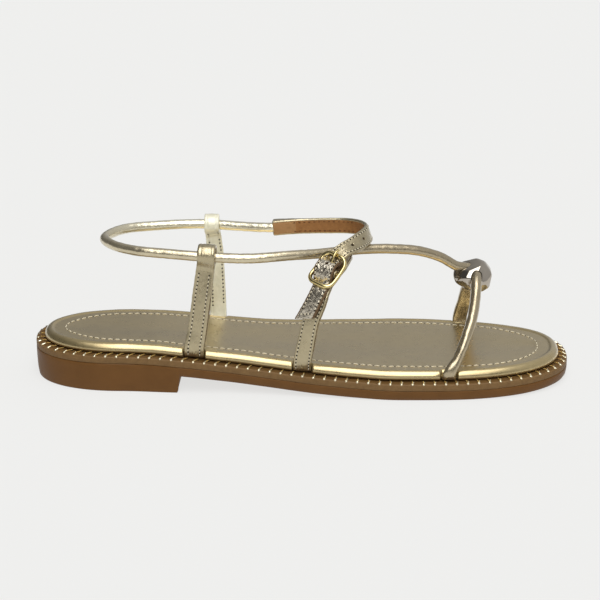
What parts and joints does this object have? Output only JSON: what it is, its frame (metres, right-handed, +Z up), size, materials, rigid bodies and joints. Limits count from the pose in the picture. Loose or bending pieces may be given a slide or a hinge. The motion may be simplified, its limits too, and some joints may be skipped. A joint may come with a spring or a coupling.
{
  "type": "gladiator sandal",
  "caption": "Flat right-foot sandal: studded welt, padded insole, heel posts, rolled ankle cord with buckle strap, rolled toe strap and a faceted metal nugget where they meet.",
  "frame": {"origin": "on the floor under the middle of the heel, at the heel's flat rest", "axes": "+X towards the toe, +Y towards the inner side of the foot, +Z up"},
  "size_m": [0.2548, 0.0858, 0.0745],
  "materials": {
    "outsole_brown": "moulded brown sole unit, satin",
    "welt_brown": "brown welt board with small pale-gold studs on its edge",
    "insole_leather": "smooth champagne-gold metallic leather, padded, stitched near its edge",
    "strap_leather": "crinkled champagne-gold metallic leather with tan lining",
    "nugget_metal": "polished pale gold plating over faceted die casting",
    "buckle_metal": "polished yellow gold plating"
  },
  "bodies": {
    "root": {"outsole": "outsole_brown", "welt": "welt_brown", "insole": "insole_leather", "ankle_strap": "strap_leather", "heel_post_lateral": "strap_leather", "heel_post_medial": "strap_leather", "side_strap": "strap_leather", "toe_strap": "strap_leather", "toe_nugget": "nugget_metal", "buckle_frame": "buckle_metal", "buckle_prong": "buckle_metal"}
  },
  "joints": []
}
